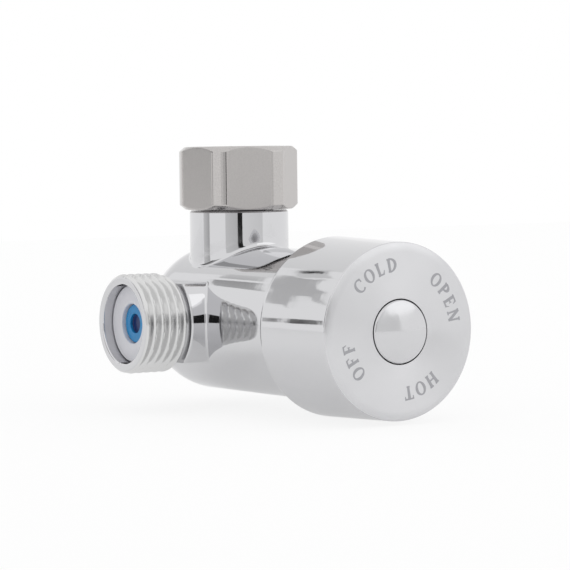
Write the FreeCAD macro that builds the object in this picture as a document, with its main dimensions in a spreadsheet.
import FreeCAD
import Part
import Sketcher
import math
import os
from types import SimpleNamespace

# A hot and cold water mixing valve, in millimetres.
# Cold water comes in from -X and hot from +X, mixed water leaves up the neck along +Z,
# and the control knob faces -Y. The three port axes cross inside the body. The origin is
# above that crossing, at the centre of the outlet washer, where a tap's tail lands.
SIZES = {
    # Inlets with their male pipe threads, measured outwards from the crossing
    "thread_diameter": 20.955,
    "thread_lead_in": 0.65,
    "collar_diameter": 22.8,
    "collar_flats": 16.8,
    "collar_corner": 1.0,
    "collar_edge": 0.3,
    "collar_length": 3.45,
    "inlet_reach": 29.3,
    "inlet_bore": 16.6,
    "inlet_bore_depth": 14.1,
    "passage_diameter": 8.4,
    "passage_end": 8.0,
    # Barrel with a round closed end, measured forwards from the crossing
    "barrel_diameter": 31.1,
    "dome_setback": 7.8,
    "barrel_reach": 38.0,
    "barrel_edge": 0.6,
    "cartridge_bore": 25.4,
    "cartridge_floor": 13.0,
    "gland_thread": 27.8,
    "gland_thread_start": 27.0,
    "side_port_diameter": 4.0,
    "side_port_offset": 8.6,
    "centre_port_diameter": 6.4,
    # Neck and the spigot that carries the union nut, measured upwards from the crossing
    "neck_diameter": 21.2,
    "neck_edge": 0.4,
    "neck_fillet": 1.3,
    "inlet_fillet": 0.5,
    "spigot_diameter": 14.8,
    "spigot_height": 28.0,
    "spigot_land": 0.8,
    "outlet_bore": 10.4,
    "outlet_bore_depth": 4.0,
    # Union nut, its snap ring and its sealing washer
    "nut_flats": 23.4,
    "nut_corners": 25.5,
    "nut_height": 13.4,
    "nut_face_diameter": 23.1,
    "nut_chamfer": 1.0,
    "nut_thread": 18.631,
    "nut_mouth_chamfer": 0.7,
    "nut_relief": 0.5,
    "nut_lip": 2.4,
    "nut_play": 0.2,
    "nut_turn": 39.4,
    "snap_ring_thickness": 1.0,
    "snap_ring_diameter": 17.2,
    "snap_ring_depth": 0.8,
    "snap_ring_gap": 40.0,
    "washer_thickness": 1.6,
    # Check valve in each inlet
    "check_recess": 2.3,
    "check_clearance": 0.15,
    "check_mouth": 8.4,
    "check_front_wall": 1.5,
    "check_chamber": 11.8,
    "check_flange": 2.5,
    "check_groove_width": 1.9,
    "check_groove_depth": 1.1,
    "check_waist": 14.0,
    "check_land": 1.6,
    "poppet_diameter": 10.0,
    "poppet_flange": 1.2,
    "poppet_boss_diameter": 8.1,
    "poppet_boss": 0.9,
    "poppet_nose": 0.7,
    "poppet_dimple_diameter": 4.1,
    "poppet_dimple": 0.8,
    "poppet_stem_diameter": 3.0,
    "poppet_stem": 8.0,
    "guide_thickness": 2.2,
    "guide_hole_diameter": 2.6,
    "guide_hole_offset": 3.85,
    "spring_diameter": 5.2,
    "spring_wire": 0.5,
    "spring_turns": 3.0,
    # Ceramic cartridge
    "gasket_thickness": 1.4,
    "disc_diameter": 22.6,
    "fixed_disc_thickness": 3.4,
    "moving_disc_thickness": 4.4,
    "disc_clearance": 0.2,
    "slot_inner_diameter": 11.6,
    "slot_outer_diameter": 20.0,
    "slot_span": 105.0,
    "slot_start": 60.0,
    "recess_depth": 1.5,
    "recess_span": 80.0,
    "recess_turn": 240.0,
    "disc_key_width": 3.0,
    "disc_key_depth": 0.8,
    "tang_length": 15.0,
    "tang_width": 4.0,
    "tang_height": 1.4,
    "flange_diameter": 16.8,
    "flange_thickness": 2.6,
    "stop_lug_span": 68.0,
    "stop_lug_turn": 195.0,
    "stop_rib_span": 20.0,
    "glide_thickness": 0.4,
    "glide_width": 3.0,
    "housing_clearance": 0.2,
    "housing_skirt": 1.0,
    "housing_wall": 2.6,
    "housing_boss_diameter": 16.0,
    "housing_boss": 6.2,
    "housing_seal_groove": 1.6,
    "housing_seal_depth": 0.5,
    "spindle_diameter": 9.8,
    "spindle_clearance": 0.08,
    "spindle_seal_groove": 1.6,
    "spindle_seal_depth": 1.2,
    "spindle_seal_place": 3.4,
    "seal_clearance": 0.02,
    "spindle_shoulder": 36.0,
    "spindle_reach": 50.0,
    "square_drive": 6.7,
    "square_clearance": 0.06,
    "gland_clearance": 0.1,
    "gland_bore_clearance": 0.3,
    "gland_flats": 26.0,
    "gland_head": 3.6,
    "gland_lift": 0.4,
    # Knob, its screw and its cap
    "knob_diameter": 35.8,
    "knob_back_diameter": 37.1,
    "knob_back": 35.8,
    "knob_front": 59.85,
    "knob_face_diameter": 31.9,
    "knob_shoulder": 0.65,
    "knob_rim_round": 0.4,
    "knob_back_round": 1.6,
    "knob_dip_diameter": 20.0,
    "knob_dip": 0.12,
    "knob_cavity": 32.2,
    "knob_cavity_floor": 53.0,
    "knob_boss_diameter": 13.0,
    "knob_boss_back": 43.4,
    "knob_socket_end": 50.5,
    "knob_recess_floor": 55.2,
    "cap_diameter": 12.8,
    "cap_gap": 0.2,
    "cap_stand": 0.35,
    "cap_edge_round": 0.35,
    "cap_dome": 1.4,
    "cap_wall": 1.0,
    "screw_diameter": 4.0,
    "screw_clearance": 0.05,
    "screw_length": 12.0,
    "screw_head_diameter": 7.2,
    "screw_head": 2.2,
    "screw_cross_width": 1.1,
    "screw_cross_length": 4.4,
    "screw_cross_depth": 1.3,
}

document = FreeCAD.newDocument("mixing_valve")
sheet = document.addObject("Spreadsheet::Sheet", "Sizes")
for row, (alias, number) in enumerate(SIZES.items(), start=1):
    sheet.set(f"A{row}", alias)
    sheet.set(f"B{row}", str(number))
    sheet.setAlias(f"B{row}", alias)
document.recompute()


class Length:
    """A number together with the sheet expression that gives it."""

    def __init__(self, number, text):
        self.number = number
        self.text = text

    def __add__(self, other):
        other = length(other)
        return Length(self.number + other.number, f"({self.text} + {other.text})")

    def __sub__(self, other):
        other = length(other)
        return Length(self.number - other.number, f"({self.text} - {other.text})")

    def __mul__(self, other):
        other = length(other)
        return Length(self.number * other.number, f"({self.text} * {other.text})")

    def __truediv__(self, other):
        other = length(other)
        return Length(self.number / other.number, f"({self.text} / {other.text})")

    def __neg__(self):
        return Length(-self.number, f"(0 - {self.text})")


def length(item):
    """A plain number in the same form as a sheet value."""
    return item if isinstance(item, Length) else Length(item, str(item))


size = SimpleNamespace(**{alias: Length(number, f"Sizes.{alias}") for alias, number in SIZES.items()})
pieces = []
FULL_TURN = 360.0
GUIDE_HOLES = 3

# Turns that carry a piece's own axis, drawn along Z, onto the valve's axes
UP = FreeCAD.Rotation()
FORWARD = FreeCAD.Rotation(FreeCAD.Vector(1, 0, 0), 90)
COLD = FreeCAD.Rotation(FreeCAD.Vector(0, 1, 0), -90)
HOT = FreeCAD.Rotation(FreeCAD.Vector(0, 1, 0), 90)


def piece(thing, label, turn, along=0):
    """Name a finished piece and set it on the crossing of the port axes, or along its own axis."""
    thing.Label = label
    thing.Placement = FreeCAD.Placement(FreeCAD.Vector(), turn)
    axis = turn.multVec(FreeCAD.Vector(0, 0, 1))
    thing.setExpression("Placement.Base.x", (length(along) * round(axis.x)).text)
    thing.setExpression("Placement.Base.y", (length(along) * round(axis.y)).text)
    thing.setExpression("Placement.Base.z", (length(along) * round(axis.z) - seal_top).text)
    pieces.append(thing)


def pin_vertex(sketch, geometry, end, radius, height):
    """Hold one corner of a profile at its radius and height."""
    for axis, kind, item in ((-2, "DistanceX", length(radius)), (-1, "DistanceY", length(height))):
        if item.text == "0":
            sketch.addConstraint(Sketcher.Constraint("PointOnObject", geometry, end, axis))
            continue
        index = sketch.addConstraint(Sketcher.Constraint(kind, -1, 1, geometry, end, item.number))
        sketch.setExpression(f"Constraints[{index}]", item.text)


def arc_between(start, end, radius, bend):
    """The short arc from start to end: bend 1 turns left on the way, bend -1 turns right."""
    chord = end - start
    rise = math.sqrt(max(radius * radius - chord.Length * chord.Length / 4, 0.0))
    left = FreeCAD.Vector(-chord.y, chord.x, 0).normalize()
    centre = (start + end) * 0.5 + left * rise * bend
    angles = [math.atan2(point.y - centre.y, point.x - centre.x) for point in (start, end)]
    circle = Part.Circle(centre, FreeCAD.Vector(0, 0, 1), radius)
    return Part.ArcOfCircle(circle, *angles[::bend])


def turned(name, profile):
    """A body turned about its own Z axis from corners of (radius, height).

    A corner may carry (arc radius, bend) for a round stretch to the next corner.
    """
    body = document.addObject("PartDesign::Body", name)
    plane = next(item for item in body.Origin.OriginFeatures if item.Role == "XZ_Plane")
    sketch = body.newObject("Sketcher::SketchObject", name + "_profile")
    sketch.AttachmentSupport = (plane, [""])
    sketch.MapMode = "FlatFace"
    corners = [FreeCAD.Vector(length(c[0]).number, length(c[1]).number, 0) for c in profile]
    starts = []
    for index, corner in enumerate(profile):
        here = corners[index]
        there = corners[(index + 1) % len(corners)]
        if len(corner) == 2:
            sketch.addGeometry(Part.LineSegment(here, there))
            starts.append(1)
        else:
            radius, bend = corner[2]
            sketch.addGeometry(arc_between(here, there, radius.number, bend))
            starts.append(1 if bend > 0 else 2)
    for index, start in enumerate(starts):
        following = (index + 1) % len(starts)
        joint = Sketcher.Constraint("Coincident", index, 3 - start, following, starts[following])
        sketch.addConstraint(joint)
    for index, corner in enumerate(profile):
        pin_vertex(sketch, index, starts[index], corner[0], corner[1])
        if len(corner) == 3:
            radius = corner[2][0]
            place = sketch.addConstraint(Sketcher.Constraint("Radius", index, radius.number))
            sketch.setExpression(f"Constraints[{place}]", radius.text)
    turn = body.newObject("PartDesign::Revolution", name + "_turn")
    turn.Profile = sketch
    turn.ReferenceAxis = (sketch, ["V_Axis"])
    turn.Angle = FULL_TURN
    return body


def cylinder(name, radius, bottom, top, offset=(0, 0), span=None, start=0.0):
    """An upright round bar, or a sector of one that spans an angle from a start angle."""
    bar = document.addObject("Part::Cylinder", name)
    bar.Placement.Rotation = FreeCAD.Rotation(FreeCAD.Vector(0, 0, 1), start)
    bar.setExpression("Radius", length(radius).text)
    bar.setExpression("Height", (length(top) - bottom).text)
    bar.setExpression("Placement.Base.x", length(offset[0]).text)
    bar.setExpression("Placement.Base.y", length(offset[1]).text)
    bar.setExpression("Placement.Base.z", length(bottom).text)
    if span is not None:
        bar.setExpression("Angle", span.text)
    return bar


def block(name, across, deep, bottom, top, turn=0.0):
    """An upright bar of rectangular section about the Z axis."""
    bar = document.addObject("Part::Box", name)
    angle = math.radians(turn)
    bar.Placement.Rotation = FreeCAD.Rotation(FreeCAD.Vector(0, 0, 1), turn)
    bar.setExpression("Length", across.text)
    bar.setExpression("Width", deep.text)
    bar.setExpression("Height", (length(top) - bottom).text)
    corner_x = across * (-math.cos(angle) / 2) + deep * (math.sin(angle) / 2)
    corner_y = across * (-math.sin(angle) / 2) - deep * (math.cos(angle) / 2)
    bar.setExpression("Placement.Base.x", corner_x.text)
    bar.setExpression("Placement.Base.y", corner_y.text)
    bar.setExpression("Placement.Base.z", length(bottom).text)
    return bar


def hexagon(name, flats, bottom, top, turn):
    """An upright hexagonal bar by its size across flats."""
    bar = document.addObject("Part::Prism", name)
    bar.Polygon = 6
    bar.Placement.Rotation = FreeCAD.Rotation(FreeCAD.Vector(0, 0, 1), turn)
    bar.setExpression("Circumradius", (flats / math.sqrt(3)).text)
    bar.setExpression("Height", (length(top) - bottom).text)
    bar.setExpression("Placement.Base.z", length(bottom).text)
    return bar


def torus(name, inner, outer):
    """A round ring between two radii, about the Z axis."""
    ring = document.addObject("Part::Torus", name)
    ring.setExpression("Radius1", ((outer + inner) / 2).text)
    ring.setExpression("Radius2", ((outer - inner) / 2).text)
    return ring


def fused(name, shapes):
    union = document.addObject("Part::MultiFuse", name)
    union.Shapes = shapes
    return union


def cut(name, base, tool):
    remainder = document.addObject("Part::Cut", name)
    remainder.Base = base
    remainder.Tool = tool
    return remainder


def common(name, base, tool):
    shared = document.addObject("Part::Common", name)
    shared.Base = base
    shared.Tool = tool
    return shared


def turned_towards(thing, turn):
    thing.Placement = FreeCAD.Placement(FreeCAD.Vector(), turn)
    return thing


def clock(angle):
    """The angle from X of a clock angle, which runs clockwise from the top as the knob is faced."""
    return 90.0 - angle


def sector(name, inner, outer, bottom, top, span, clock_end):
    """A curved slot between two radii that runs back from a clock angle by its span."""
    outside = cylinder(name + "_outer", outer, bottom, top, span=span, start=clock(clock_end))
    inside = cylinder(name + "_inner", inner, bottom, top)
    return cut(name, outside, inside)


# Radii that several pieces share
thread_r = size.thread_diameter / 2
collar_r = size.collar_diameter / 2
barrel_r = size.barrel_diameter / 2
neck_r = size.neck_diameter / 2
spigot_r = size.spigot_diameter / 2
inlet_bore_r = size.inlet_bore / 2
inlet_bore_end = size.inlet_reach - size.inlet_bore_depth
passage_r = size.passage_diameter / 2
cartridge_r = size.cartridge_bore / 2
gland_thread_r = size.gland_thread / 2
outlet_r = size.outlet_bore / 2
centre_port_r = size.centre_port_diameter / 2

# Heights at the outlet, stacked down from the spigot's top to the neck's shoulder, and up to the seal
groove_top = size.spigot_height - size.spigot_land
snap_ring_top = groove_top - size.nut_play / 2
snap_ring_bottom = snap_ring_top - size.snap_ring_thickness
nut_bottom = snap_ring_bottom - size.nut_lip - size.nut_play
nut_top = nut_bottom + size.nut_height
neck_height = nut_bottom - size.nut_play
groove_r = spigot_r - size.snap_ring_depth
seal_top = size.spigot_height + size.washer_thickness

# Distances along an inlet: the thread's inner end, then the check valve's stack and the bore's step
thread_back = barrel_r + size.collar_length
check_face = size.inlet_reach - size.check_recess
check_ring_top = check_face - size.check_flange
check_ring_bottom = check_ring_top - size.check_groove_width
check_land_bottom = check_ring_bottom - size.check_land
check_waist_r = size.check_waist / 2
step_r = check_waist_r + size.check_clearance
step_end = check_land_bottom - size.check_clearance

# Distances that stack forwards through the cartridge
gasket_front = size.cartridge_floor + size.gasket_thickness
fixed_front = gasket_front + size.fixed_disc_thickness
moving_front = fixed_front + size.moving_disc_thickness
flange_front = moving_front + size.flange_thickness
glide_front = flange_front + size.glide_thickness
housing_front = glide_front + size.housing_wall
boss_front = housing_front + size.housing_boss


def shared_face(shape, edge, first, second):
    """Whether an edge lies between a face of the first group and one of the second."""
    sides = [face.Surface for face in shape.ancestorsOfType(edge, Part.Face)]
    return any(first(side) for side in sides) and any(second(side) for side in sides)


def is_round(radius, direction):
    """A test for a cylinder of this radius along this direction."""
    def test(surface):
        if not isinstance(surface, Part.Cylinder):
            return False
        along = abs(surface.Axis.dot(direction)) > 0.99
        return along and abs(surface.Radius - radius.number) < 1e-4
    return test


def is_barrel(surface):
    """A test for the barrel's cylinder or its round end."""
    if isinstance(surface, Part.Sphere):
        return True
    return is_round(barrel_r, FreeCAD.Vector(0, 1, 0))(surface)


def is_collar(surface):
    """A test for an inlet collar's round sides, its wrench flats or the corners between them."""
    if isinstance(surface, Part.Plane):
        level = abs(surface.Axis.z) > 0.99
        return level and abs(abs(surface.Position.z) - size.collar_flats.number / 2) < 1e-4
    radii = (collar_r, size.collar_corner)
    return any(is_round(radius, FreeCAD.Vector(1, 0, 0))(surface) for radius in radii)


def is_long_corner(edge):
    """A test for an edge where a collar's wrench flat meets its round side."""
    along = isinstance(edge.Curve, Part.Line) and abs(edge.Curve.Direction.z) > 0.99
    return along and abs(abs(edge.Vertexes[0].Point.x) - size.collar_flats.number / 2) < 1e-4


def inlet_collar(side):
    """The root of an inlet: a round bar with two wrench flats, its long corners rounded."""
    bar = turned(side + "_collar", [
        (0, 0),
        (collar_r, 0),
        (collar_r, thread_back - size.collar_edge),
        (collar_r - size.collar_edge, thread_back),
        (0, thread_back),
    ])
    flats = block(side + "_flats", size.collar_flats, size.collar_diameter, 0, thread_back)
    flatted = common(side + "_flatted_collar", bar, flats)
    document.recompute()
    corner = size.collar_corner.number
    rounded = document.addObject("Part::Fillet", side + "_rounded_collar")
    rounded.Base = flatted
    rounded.Edges = [
        (number, corner, corner)
        for number, edge in enumerate(flatted.Shape.Edges, start=1) if is_long_corner(edge)]
    return rounded


def valve_body():
    """The casting: barrel, neck and two inlets, with the bores and ports drilled in it."""
    dome_back = -(size.dome_setback + barrel_r)
    barrel = turned("barrel", [
        (0, dome_back, (barrel_r, 1)),
        (barrel_r, -size.dome_setback),
        (barrel_r, size.barrel_reach - size.barrel_edge),
        (barrel_r - size.barrel_edge, size.barrel_reach),
        (0, size.barrel_reach),
    ])
    neck = turned("neck", [
        (0, 0),
        (neck_r, 0),
        (neck_r, neck_height - size.neck_edge),
        (neck_r - size.neck_edge, neck_height),
        (spigot_r, neck_height),
        (spigot_r, snap_ring_bottom),
        (groove_r, snap_ring_bottom),
        (groove_r, groove_top),
        (spigot_r, groove_top),
        (spigot_r, size.spigot_height),
        (0, size.spigot_height),
    ])
    inlets = []
    for side, turn in (("cold", COLD), ("hot", HOT)):
        inlets.append(turned_towards(inlet_collar(side), turn))
        threaded = turned(side + "_threaded_end", [
            (0, thread_back),
            (thread_r, thread_back),
            (thread_r, size.inlet_reach - size.thread_lead_in),
            (thread_r - size.thread_lead_in, size.inlet_reach),
            (0, size.inlet_reach),
        ])
        inlets.append(turned_towards(threaded, turn))
    outside = fused("casting", [turned_towards(barrel, FORWARD), neck] + inlets)
    document.recompute()
    is_neck = is_round(neck_r, FreeCAD.Vector(0, 0, 1))
    rounded = document.addObject("Part::Fillet", "rounded_casting")
    rounded.Base = outside
    edges = []
    for number, edge in enumerate(outside.Shape.Edges, start=1):
        if shared_face(outside.Shape, edge, is_barrel, is_neck):
            edges.append((number, size.neck_fillet.number, size.neck_fillet.number))
        elif shared_face(outside.Shape, edge, is_barrel, is_collar):
            edges.append((number, size.inlet_fillet.number, size.inlet_fillet.number))
    rounded.Edges = edges
    over = size.barrel_edge
    cartridge_bore = turned("cartridge_hole", [
        (0, 0),
        (centre_port_r, 0),
        (centre_port_r, size.cartridge_floor),
        (cartridge_r, size.cartridge_floor),
        (cartridge_r, size.gland_thread_start),
        (gland_thread_r, size.gland_thread_start),
        (gland_thread_r, size.barrel_reach + over),
        (0, size.barrel_reach + over),
    ])
    inlet_hole = [
        (0, size.passage_end),
        (passage_r, size.passage_end),
        (passage_r, inlet_bore_end),
        (step_r, inlet_bore_end),
        (step_r, step_end),
        (inlet_bore_r, step_end),
        (inlet_bore_r, size.inlet_reach + over),
        (0, size.inlet_reach + over),
    ]
    side_ports = []
    for side, offset in (("cold", -size.side_port_offset), ("hot", size.side_port_offset)):
        port_r = size.side_port_diameter / 2
        port_front = size.cartridge_floor + over
        side_ports.append(cylinder(side + "_port", port_r, 0, port_front, (offset, 0)))
    ports = turned_towards(fused("side_ports", side_ports), FORWARD)
    outlet = cylinder("outlet_hole", outlet_r, -size.outlet_bore_depth, size.spigot_height + over)
    holes = fused("waterways", [
        turned_towards(cartridge_bore, FORWARD),
        turned_towards(turned("cold_hole", inlet_hole), COLD),
        turned_towards(turned("hot_hole", inlet_hole), HOT),
        ports,
        outlet,
    ])
    piece(cut("body_casting", rounded, holes), "valve_body", UP)


def union_nut():
    """The loose hexagon nut, with its corners turned down and a lip that the snap ring traps."""
    corner_r = size.nut_corners / 2
    face_r = size.nut_face_diameter / 2
    bore_r = size.nut_thread / 2
    lip_r = spigot_r + size.nut_play
    blank = turned("nut_blank", [
        (lip_r, nut_bottom),
        (face_r, nut_bottom),
        (corner_r, nut_bottom + size.nut_chamfer),
        (corner_r, nut_top - size.nut_chamfer),
        (face_r, nut_top),
        (bore_r + size.nut_mouth_chamfer, nut_top),
        (bore_r, nut_top - size.nut_mouth_chamfer),
        (bore_r, seal_top),
        (bore_r + size.nut_relief, seal_top),
        (bore_r + size.nut_relief, nut_bottom + size.nut_lip),
        (lip_r, nut_bottom + size.nut_lip),
    ])
    flats = hexagon("nut_flats_bar", size.nut_flats, nut_bottom, nut_top, size.nut_turn.number)
    piece(common("hexagon_nut", blank, flats), "union_nut", UP)


def outlet_seals():
    """The split snap ring under the nut's thread and the washer on the spigot."""
    ring_r = size.snap_ring_diameter / 2
    sweep = -size.snap_ring_gap + FULL_TURN
    outer = cylinder("ring_outer", ring_r, snap_ring_bottom, snap_ring_top, span=sweep)
    inner = cylinder("ring_inner", groove_r + size.seal_clearance, snap_ring_bottom, snap_ring_top)
    piece(cut("split_ring", outer, inner), "nut_snap_ring", UP)
    washer_r = size.nut_thread / 2 - size.nut_play
    outside = cylinder("washer_outer", washer_r, size.spigot_height, seal_top)
    inside = cylinder("washer_inner", outlet_r, size.spigot_height, seal_top)
    piece(cut("washer", outside, inside), "outlet_washer", UP)


def check_valve(side, turn):
    """One inlet's spring-loaded check valve, measured outwards along its inlet."""
    seat = check_face - size.check_front_wall
    back = inlet_bore_end
    outer_r = inlet_bore_r - size.check_clearance
    mouth_r = size.check_mouth / 2
    chamber_r = size.check_chamber / 2
    ring_groove_r = outer_r - size.check_groove_depth
    housing = turned(side + "_cage", [
        (mouth_r, check_face),
        (mouth_r, seat),
        (chamber_r, seat),
        (chamber_r, back),
        (check_waist_r, back),
        (check_waist_r, check_land_bottom),
        (outer_r, check_land_bottom),
        (outer_r, check_ring_bottom),
        (ring_groove_r, check_ring_bottom),
        (ring_groove_r, check_ring_top),
        (outer_r, check_ring_top),
        (outer_r, check_face),
    ])
    piece(housing, side + "_check_housing", turn)

    seal = torus(side + "_ring", ring_groove_r, inlet_bore_r - size.seal_clearance)
    piece(seal, side + "_check_o_ring", turn, (check_ring_top + check_ring_bottom) / 2)

    flange_r = size.poppet_diameter / 2
    boss_r = size.poppet_boss_diameter / 2
    dimple_r = size.poppet_dimple_diameter / 2
    stem_r = size.poppet_stem_diameter / 2
    boss_back = seat - size.poppet_boss
    flange_back = boss_back - size.poppet_flange
    nose = seat + size.poppet_nose
    poppet = turned(side + "_piston", [
        (0, nose - size.poppet_dimple),
        (dimple_r, nose - size.poppet_dimple),
        (dimple_r, nose),
        (boss_r, nose),
        (boss_r, boss_back),
        (flange_r, boss_back),
        (flange_r, flange_back),
        (stem_r, flange_back),
        (stem_r, flange_back - size.poppet_stem),
        (0, flange_back - size.poppet_stem),
    ])
    piece(poppet, side + "_check_poppet", turn)

    seal_outer = cylinder(side + "_seal_outer", flange_r, boss_back, seat)
    seal_inner = cylinder(side + "_seal_inner", boss_r + size.seal_clearance, boss_back, seat)
    piece(cut(side + "_face_seal", seal_outer, seal_inner), side + "_poppet_seal", turn)

    guide_front = back + size.guide_thickness
    plate = cylinder(side + "_plate", chamber_r - size.spindle_clearance, back, guide_front)
    holes = [cylinder(side + "_stem_hole", stem_r + size.spindle_clearance, back, guide_front)]
    flow_r = size.guide_hole_diameter / 2
    for count in range(GUIDE_HOLES):
        angle = math.radians(clock(FULL_TURN / GUIDE_HOLES * count))
        offset = (size.guide_hole_offset * math.cos(angle), size.guide_hole_offset * math.sin(angle))
        holes.append(cylinder(f"{side}_flow_hole_{count}", flow_r, back, guide_front, offset))
    piece(cut(side + "_spider", plate, fused(side + "_guide_holes", holes)), side + "_check_guide", turn)

    wire_r = size.spring_wire / 2
    clear = wire_r + size.seal_clearance
    free = flange_back - guide_front - clear * 2
    helix = document.addObject("Part::Helix", side + "_coil")
    helix.SegmentLength = 0.5
    helix.setExpression("Radius", (size.spring_diameter / 2).text)
    helix.setExpression("Height", free.text)
    helix.setExpression("Pitch", (free / size.spring_turns).text)
    helix.setExpression("Placement.Base.z", (guide_front + clear).text)
    wire = document.addObject("Part::Circle", side + "_wire")
    wire.setExpression("Radius", wire_r.text)
    wire.Placement.Rotation = FreeCAD.Rotation(FreeCAD.Vector(1, 0, 0), 90)
    wire.setExpression("Placement.Base.x", (size.spring_diameter / 2).text)
    wire.setExpression("Placement.Base.z", (guide_front + clear).text)
    coil = document.addObject("Part::Sweep", side + "_spring")
    coil.Sections = [wire]
    coil.Spine = helix
    coil.Solid = True
    coil.Frenet = True
    piece(coil, side + "_check_spring", turn)


def disc_slots(name, back, front):
    """The holes that the gasket and the fixed disc share: cold slot, hot slot and centre."""
    inner = size.slot_inner_diameter / 2
    outer = size.slot_outer_diameter / 2
    far_end = size.slot_start.number + size.slot_span.number
    cold_end = FULL_TURN - size.slot_start.number
    hot = sector(name + "_hot", inner, outer, back, front, size.slot_span, far_end)
    cold = sector(name + "_cold", inner, outer, back, front, size.slot_span, cold_end)
    centre = cylinder(name + "_centre", centre_port_r, back, front)
    return [hot, cold, centre]


def cartridge():
    """Gasket, two ceramic discs, housing and their seals, stacked on the cartridge floor."""
    disc_r = size.disc_diameter / 2
    skirt_in = disc_r + size.disc_clearance
    skirt_out = cartridge_r - size.housing_clearance
    key_r = disc_r - size.disc_key_depth

    sheet_disc = cylinder("gasket_disc", key_r, size.cartridge_floor, gasket_front)
    slots = fused("gasket_slots", disc_slots("gasket", size.cartridge_floor, gasket_front))
    piece(cut("gasket", sheet_disc, slots), "seat_gasket", FORWARD)

    key_width = size.disc_key_width + size.disc_clearance * 2
    plain = cylinder("fixed_blank", disc_r, gasket_front, fixed_front)
    across = disc_r * 2 + size.disc_key_depth
    notch_bar = block("fixed_notch_bar", across, key_width, gasket_front, fixed_front)
    notch_core = cylinder("fixed_notch_core", key_r, gasket_front, fixed_front)
    notches = cut("fixed_notches", notch_bar, notch_core)
    openings = fused("fixed_openings", [notches] + disc_slots("fixed", gasket_front, fixed_front))
    piece(cut("lower_disc", plain, openings), "fixed_disc", FORWARD)

    recess_end = size.recess_turn.number + size.recess_span.number / 2
    recess_front = fixed_front + size.recess_depth
    mixing = cylinder(
        "mixing_recess", size.slot_outer_diameter / 2, fixed_front, recess_front,
        span=size.recess_span, start=clock(recess_end))
    eye = cylinder("mixing_eye", centre_port_r, fixed_front, recess_front)
    play = size.disc_clearance * 2
    slot_back = moving_front - size.tang_height - size.disc_clearance
    slot = block(
        "tang_slot", size.tang_length + play, size.tang_width + play, slot_back, moving_front,
        clock(size.recess_turn.number))
    top = cylinder("moving_blank", disc_r - size.disc_clearance, fixed_front, moving_front)
    piece(cut("upper_disc", top, fused("moving_openings", [mixing, eye, slot])), "moving_disc", FORWARD)

    shaft_hole = size.spindle_diameter / 2 + size.spindle_clearance
    boss_r = size.housing_boss_diameter / 2
    groove_back = housing_front - size.housing_wall / 2 - size.housing_seal_groove / 2
    groove_front = groove_back + size.housing_seal_groove
    seal_groove_r = skirt_out - size.housing_seal_depth
    shell = turned("housing_shell", [
        (skirt_in, size.cartridge_floor + size.housing_clearance),
        (skirt_out, size.cartridge_floor + size.housing_clearance),
        (skirt_out, groove_back),
        (seal_groove_r, groove_back),
        (seal_groove_r, groove_front),
        (skirt_out, groove_front),
        (skirt_out, housing_front),
        (boss_r, housing_front),
        (boss_r, boss_front),
        (shaft_hole, boss_front),
        (shaft_hole, glide_front),
        (skirt_in, glide_front),
    ])
    bar = block(
        "disc_key_bar", skirt_in * 2 + size.housing_skirt, size.disc_key_width,
        gasket_front, fixed_front - size.disc_clearance)
    key_core = cylinder("disc_key_core", key_r + size.disc_clearance, gasket_front, fixed_front)
    key_ring = cylinder("disc_key_limit", skirt_in + size.housing_skirt / 2, gasket_front, fixed_front)
    keys = cut("disc_keys", common("disc_key_bars", bar, key_ring), key_core)
    rib_end = size.stop_rib_span.number / 2
    rib = sector(
        "stop_rib", size.flange_diameter / 2 + size.disc_clearance, skirt_in + size.housing_skirt / 2,
        moving_front + size.disc_clearance, glide_front, size.stop_rib_span, rib_end)
    piece(fused("cartridge_cup", [shell, keys, rib]), "cartridge_housing", FORWARD)

    seal = torus("cup_ring", seal_groove_r, cartridge_r - size.seal_clearance)
    piece(seal, "housing_o_ring", FORWARD, (groove_back + groove_front) / 2)


def spindle():
    """The driving spindle with its tang, stop lug, seal groove and square end, and its rings."""
    shaft_r = size.spindle_diameter / 2
    flange_r = size.flange_diameter / 2
    ring_back = glide_front + size.spindle_seal_place
    ring_front = ring_back + size.spindle_seal_groove
    ring_r = shaft_r - size.spindle_seal_depth
    stem = turned("spindle_stem", [
        (0, moving_front),
        (flange_r, moving_front),
        (flange_r, flange_front),
        (shaft_r, flange_front),
        (shaft_r, ring_back),
        (ring_r, ring_back),
        (ring_r, ring_front),
        (shaft_r, ring_front),
        (shaft_r, size.spindle_shoulder),
        (0, size.spindle_shoulder),
    ])
    drive = size.square_drive
    square = block("square_end", drive, drive, size.spindle_shoulder, size.spindle_reach)
    turn = clock(size.recess_turn.number)
    tang_back = moving_front - size.tang_height
    tang = block("tang", size.tang_length, size.tang_width, tang_back, moving_front, turn)
    lug_end = size.stop_lug_turn.number + size.stop_lug_span.number / 2
    lug = cylinder(
        "stop_lug", size.disc_diameter / 2 - size.disc_clearance, moving_front, flange_front,
        span=size.stop_lug_span, start=clock(lug_end))
    screw_hole_r = size.screw_diameter / 2 + size.screw_clearance
    hole_back = size.knob_recess_floor - size.screw_length - size.screw_diameter / 2
    hole = cylinder("screw_hole", screw_hole_r, hole_back, size.spindle_reach + size.screw_clearance)
    solid = fused("spindle_solid", [stem, square, tang, lug])
    piece(cut("drive_spindle", solid, hole), "spindle", FORWARD)

    seal = torus("stem_ring", ring_r, shaft_r + size.spindle_clearance - size.seal_clearance)
    piece(seal, "spindle_o_ring", FORWARD, (ring_back + ring_front) / 2)

    inner = shaft_r + size.spindle_clearance
    outside = cylinder("glide_outer", inner + size.glide_width, flange_front, glide_front)
    inside = cylinder("glide_inner", inner, flange_front, glide_front)
    piece(cut("glide", outside, inside), "glide_ring", FORWARD)


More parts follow.
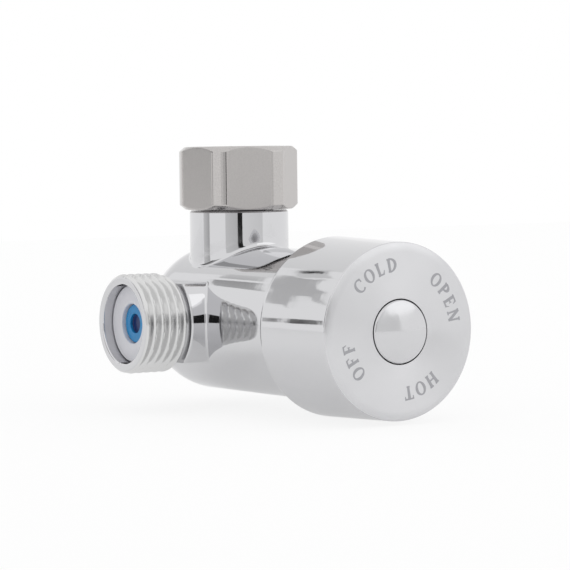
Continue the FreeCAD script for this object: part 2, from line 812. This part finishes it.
def gland_nut():
    """The threaded ring with a hexagon head that clamps the cartridge into the barrel."""
    sleeve_r = gland_thread_r - size.gland_clearance
    bore_r = size.housing_boss_diameter / 2 + size.gland_bore_clearance
    head_back = size.barrel_reach + size.gland_lift
    head_front = head_back + size.gland_head
    sleeve = cylinder("gland_sleeve", sleeve_r, housing_front, head_back)
    head = hexagon("gland_hexagon", size.gland_flats, head_back, head_front, 0.0)
    bore = cylinder("gland_bore", bore_r, housing_front, head_front)
    piece(cut("gland", fused("gland_solid", [sleeve, head]), bore), "gland_nut", FORWARD)


def is_rim(edge):
    """A test for the knob's front edge, where its side meets the shoulder of its face."""
    rim_r = size.knob_diameter.number / 2
    return isinstance(edge.Curve, Part.Circle) and abs(edge.Curve.Radius - rim_r) < 1e-4


def knob():
    """The hollow control knob, its screw and the domed cap that covers the screw."""
    knob_r = size.knob_diameter / 2
    back_r = size.knob_back_diameter / 2
    cavity_r = size.knob_cavity / 2
    boss_r = size.knob_boss_diameter / 2
    screw_r = size.screw_diameter / 2 + size.screw_clearance
    cap_r = size.cap_diameter / 2
    recess_r = cap_r + size.cap_gap
    face_r = size.knob_face_diameter / 2
    fall = knob_r - face_r
    shoulder_r = (fall * fall + size.knob_shoulder * size.knob_shoulder) / (size.knob_shoulder * 2)
    dip_width = size.knob_dip_diameter / 2 - recess_r
    dip_r = (dip_width * dip_width + size.knob_dip * size.knob_dip) / (size.knob_dip * 2)
    dip_height = size.knob_front - size.knob_dip
    grip = turned("knob_turning", [
        (screw_r, size.knob_boss_back),
        (boss_r, size.knob_boss_back),
        (boss_r, size.knob_cavity_floor),
        (cavity_r, size.knob_cavity_floor),
        (cavity_r, size.knob_back),
        (back_r - size.knob_back_round, size.knob_back, (size.knob_back_round, 1)),
        (back_r, size.knob_back + size.knob_back_round),
        (knob_r, size.knob_front - size.knob_shoulder, (shoulder_r, 1)),
        (face_r, size.knob_front),
        (size.knob_dip_diameter / 2, size.knob_front, (dip_r, 1)),
        (recess_r, dip_height),
        (recess_r, size.knob_recess_floor),
        (screw_r, size.knob_recess_floor),
    ])
    drive = size.square_drive + size.square_clearance * 2
    socket = block("square_socket", drive, drive, size.knob_boss_back, size.knob_socket_end)
    shell = cut("knob_shell", grip, socket)
    document.recompute()
    rim_round = size.knob_rim_round.number
    rounded = document.addObject("Part::Fillet", "rounded_knob")
    rounded.Base = shell
    rounded.Edges = [
        (number, rim_round, rim_round)
        for number, edge in enumerate(shell.Shape.Edges, start=1) if is_rim(edge)]
    piece(rounded, "knob", FORWARD)

    edge = dip_height + size.cap_stand
    inner_r = cap_r - size.cap_wall
    ceiling = edge - size.cap_wall
    dome_edge_r = cap_r - size.cap_edge_round
    dome_r = (dome_edge_r * dome_edge_r + size.cap_dome * size.cap_dome) / (size.cap_dome * 2)
    cap = turned("cap_turning", [
        (inner_r, size.knob_recess_floor),
        (cap_r, size.knob_recess_floor),
        (cap_r, edge - size.cap_edge_round, (size.cap_edge_round, 1)),
        (dome_edge_r, edge, (dome_r, 1)),
        (0, edge + size.cap_dome),
        (0, ceiling),
        (inner_r, ceiling),
    ])
    piece(cap, "index_cap", FORWARD)

    head_front = size.knob_recess_floor + size.screw_head
    shank_back = size.knob_recess_floor - size.screw_length
    head_r = size.screw_head_diameter / 2
    shank = cylinder("screw_shank", size.screw_diameter / 2, shank_back, size.knob_recess_floor)
    head = cylinder("screw_top", head_r, size.knob_recess_floor, head_front)
    cross_back = head_front - size.screw_cross_depth
    bars = []
    across = size.screw_cross_length
    deep = size.screw_cross_width
    for name, turn in (("first", 0.0), ("second", 90.0)):
        bars.append(block(name + "_cross", across, deep, cross_back, head_front, turn))
    cross = fused("screw_cross", bars)
    piece(cut("pan_screw", fused("screw_solid", [shank, head]), cross), "knob_screw", FORWARD)


def write_pieces():
    """Check every object and piece, then write one file for each piece."""
    document.recompute()
    failed = [item.Name for item in document.Objects if {"Invalid", "Error"} & set(item.State)]
    if failed:
        raise RuntimeError(f"objects failed: {failed}")
    for item in pieces:
        shape = item.Shape
        if shape.isNull() or not shape.isValid() or len(shape.Solids) != 1:
            raise RuntimeError(f"{item.Label} is not one valid solid")
    os.makedirs("parts", exist_ok=True)
    for item in pieces:
        item.Shape.exportStep(f"parts/{item.Label}.step")
        print(f"{item.Label}: {item.Shape.Volume / 1000:.3f} cm3")


valve_body()
union_nut()
outlet_seals()
check_valve("cold", COLD)
check_valve("hot", HOT)
cartridge()
spindle()
gland_nut()
knob()
write_pieces()
